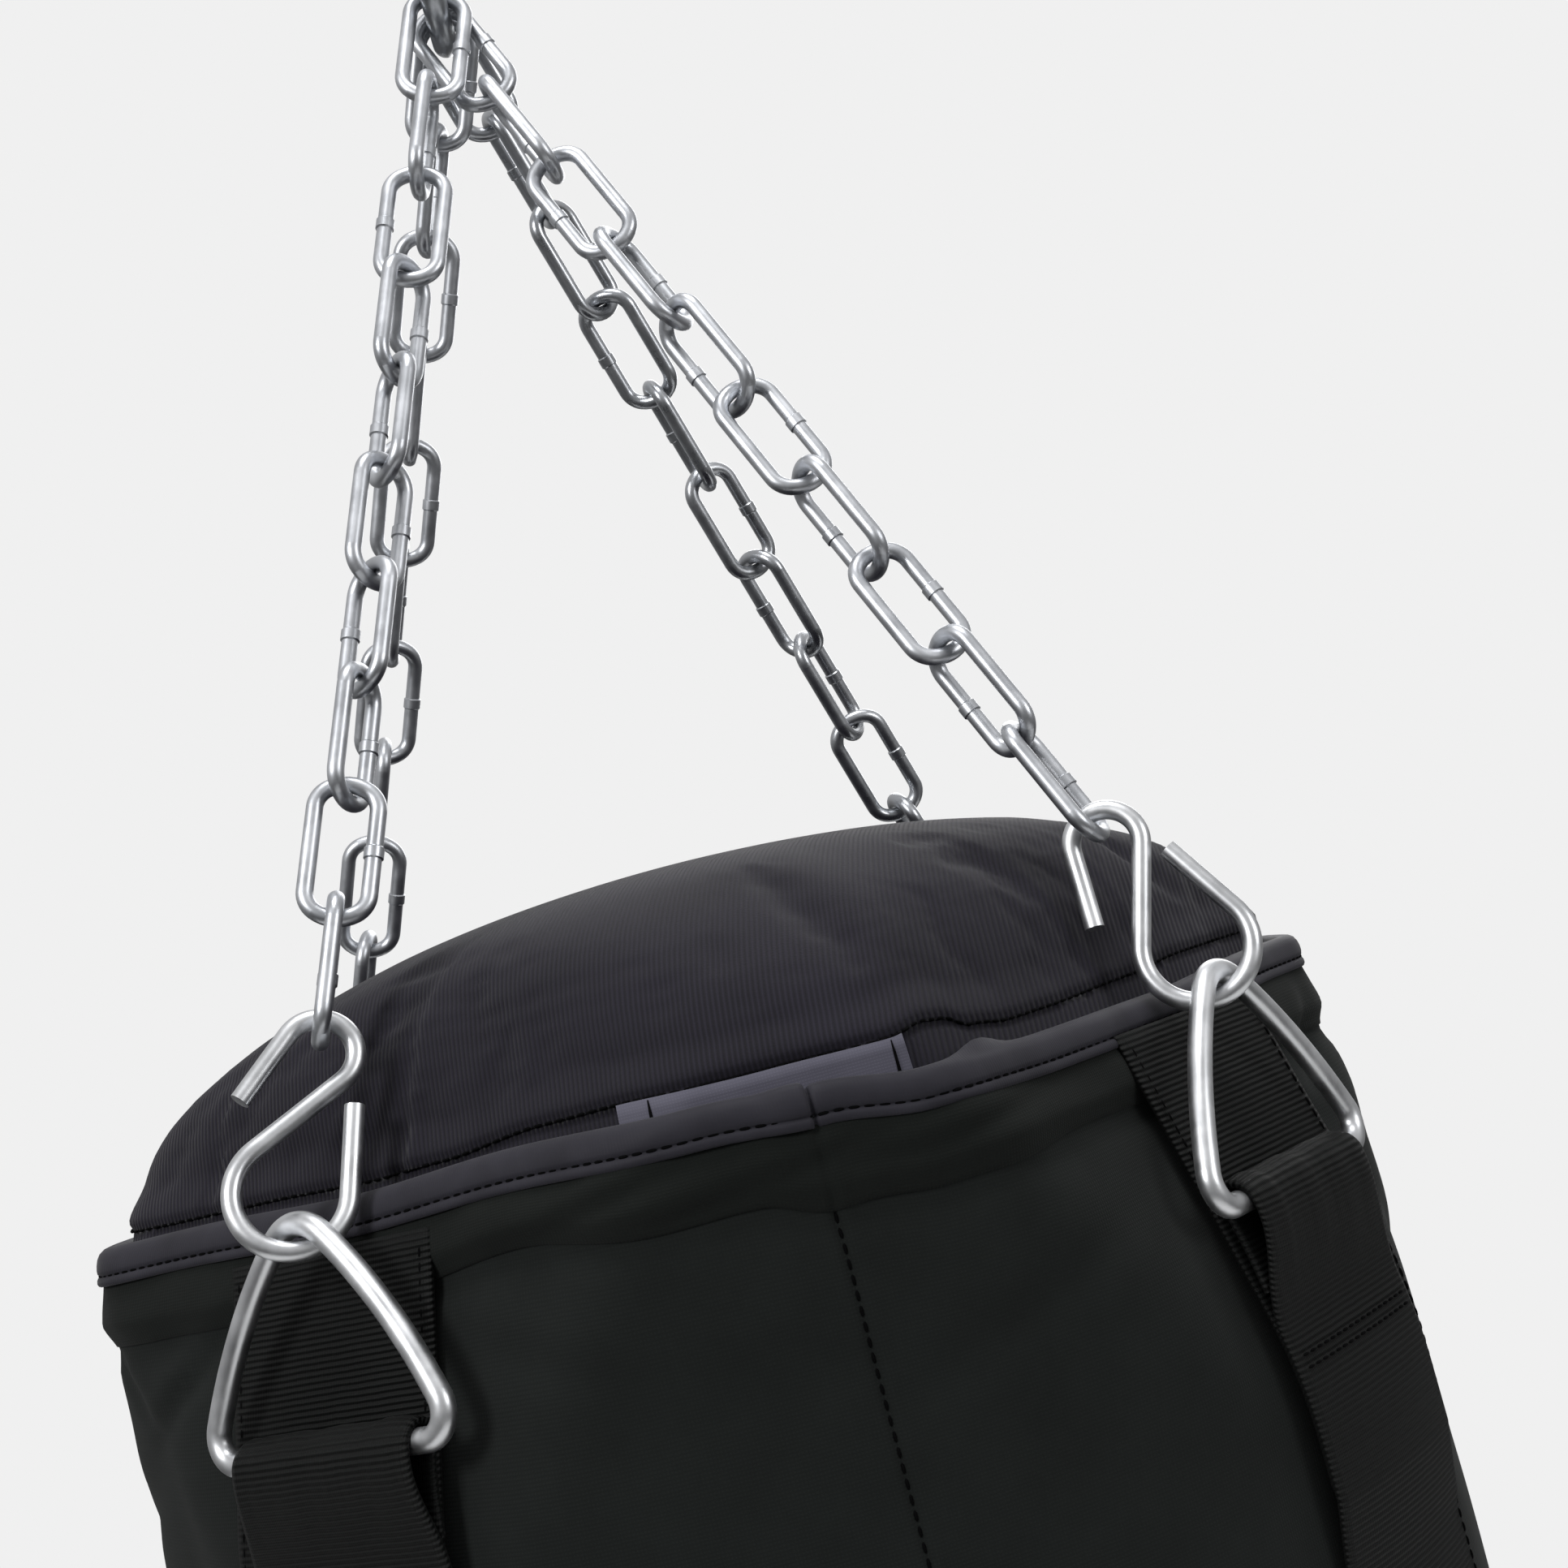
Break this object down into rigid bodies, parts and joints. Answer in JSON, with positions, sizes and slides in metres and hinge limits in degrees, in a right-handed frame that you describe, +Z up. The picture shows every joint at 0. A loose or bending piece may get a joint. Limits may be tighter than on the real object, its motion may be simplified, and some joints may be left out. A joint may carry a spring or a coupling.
{
  "type": "hanging punching bag",
  "caption": "Tall cylindrical filled punching bag with padded domed top, hung by chains with S-hooks and triangular rings from a swivel and snap hook.",
  "frame": {"origin": "inside of the snap hook's top bow, where it bears on the bar or ring that holds it", "axes": "+Z up along the line it hangs on; -Y is the front, where the cap has its closure tab; +X is to the right seen from the front"},
  "size_m": [0.3526, 0.3526, 1.4746],
  "materials": {
    "zinc_steel": "satin zinc plating",
    "spring_steel": "drawn wire",
    "body_cloth": "dense black woven polyester",
    "cap_cloth": "fine black twill",
    "binding_tape": "smooth folded tape",
    "webbing": "ribbed polypropylene webbing",
    "tab_cloth": "grey lining cloth",
    "foam": "closed-cell foam",
    "textile": "compressed textile offcuts",
    "board": "stiff plastic sheet"
  },
  "bodies": {
    "hook": {"snap_hook": "zinc_steel"},
    "gate": {"snap_hook_gate": "zinc_steel", "gate_pin": "zinc_steel", "gate_spring": "spring_steel"},
    "yoke": {"swivel_yoke": "zinc_steel"},
    "eye": {"swivel_eye": "zinc_steel"},
    "bag": {"bag_shell": "body_cloth", "header_band": "body_cloth", "rim_binding": "binding_tape", "cap_cover": "cap_cloth", "cap_pad": "foam", "closure_tab": "tab_cloth", "foam_liner": "foam", "textile_filling": "textile", "base_panel": "board", "base_foam": "foam", "chain_front_left": "zinc_steel", "strap_front_left": "webbing", "strap_backing_front_left": "webbing", "chain_front_right": "zinc_steel", "strap_front_right": "webbing", "strap_backing_front_right": "webbing", "chain_back_right": "zinc_steel", "strap_back_right": "webbing", "strap_backing_back_right": "webbing", "chain_back_left": "zinc_steel", "strap_back_left": "webbing", "strap_backing_back_left": "webbing"},
    "s_hook_front_left": {"s_hook_front_left": "zinc_steel"},
    "ring_front_left": {"triangle_ring_front_left": "zinc_steel"},
    "s_hook_front_right": {"s_hook_front_right": "zinc_steel"},
    "ring_front_right": {"triangle_ring_front_right": "zinc_steel"},
    "s_hook_back_right": {"s_hook_back_right": "zinc_steel"},
    "ring_back_right": {"triangle_ring_back_right": "zinc_steel"},
    "s_hook_back_left": {"s_hook_back_left": "zinc_steel"},
    "ring_back_left": {"triangle_ring_back_left": "zinc_steel"}
  },
  "joints": [
    {"name": "gate_hinge", "type": "hinge", "parent": "hook", "child": "gate", "pos_m": [0.016, 0, -0.047], "axis": [0, -1, 0], "range_deg": [0, 22], "stiffness_Nm_per_rad": 0.05, "springref_deg": -20.05},
    {"name": "fore_aft_swing", "type": "hinge", "parent": "hook", "child": "yoke", "pos_m": [0, 0, -0.068], "axis": [1, 0, 0], "range_deg": [-30, 30]},
    {"name": "swivel_spin", "type": "hinge", "parent": "yoke", "child": "eye", "pos_m": [0, 0, -0.0942], "axis": [0, 0, 1], "continuous": true},
    {"name": "side_swing", "type": "hinge", "parent": "eye", "child": "bag", "pos_m": [0, 0, -0.14145], "axis": [0, 1, 0], "range_deg": [-30, 30]},
    {"name": "s_hook_rock_front_left", "type": "hinge", "parent": "bag", "child": "s_hook_front_left", "pos_m": [-0.09064, -0.10988, -0.42363], "axis": [-0.2399, 0.9308, -0.2759], "range_deg": [-1.2, 1.2]},
    {"name": "ring_rock_front_left", "type": "hinge", "parent": "bag", "child": "ring_front_left", "pos_m": [-0.10805, -0.13108, -0.5171], "axis": [0.7716, -0.6361, 0], "range_deg": [-0.8, 0.5]},
    {"name": "s_hook_rock_front_right", "type": "hinge", "parent": "bag", "child": "s_hook_front_right", "pos_m": [0.10996, -0.09061, -0.42362], "axis": [0.2201, 0.952, -0.2125], "range_deg": [-1.2, 1.2]},
    {"name": "ring_rock_front_right", "type": "hinge", "parent": "bag", "child": "ring_front_right", "pos_m": [0.13108, -0.10805, -0.5171], "axis": [0.6361, 0.7716, 0], "range_deg": [-0.8, 0.5]},
    {"name": "s_hook_rock_back_right", "type": "hinge", "parent": "bag", "child": "s_hook_back_right", "pos_m": [0.09064, 0.10988, -0.42363], "axis": [0.2399, -0.9308, -0.2759], "range_deg": [-1.2, 1.2]},
    {"name": "ring_rock_back_right", "type": "hinge", "parent": "bag", "child": "ring_back_right", "pos_m": [0.10805, 0.13108, -0.5171], "axis": [-0.7716, 0.6361, 0], "range_deg": [-0.8, 0.5]},
    {"name": "s_hook_rock_back_left", "type": "hinge", "parent": "bag", "child": "s_hook_back_left", "pos_m": [-0.10996, 0.09061, -0.42362], "axis": [-0.107, -0.9603, -0.2577], "range_deg": [-1.2, 1.2]},
    {"name": "ring_rock_back_left", "type": "hinge", "parent": "bag", "child": "ring_back_left", "pos_m": [-0.13108, 0.10805, -0.5171], "axis": [-0.6361, -0.7716, 0], "range_deg": [-0.8, 0.5]}
  ]
}
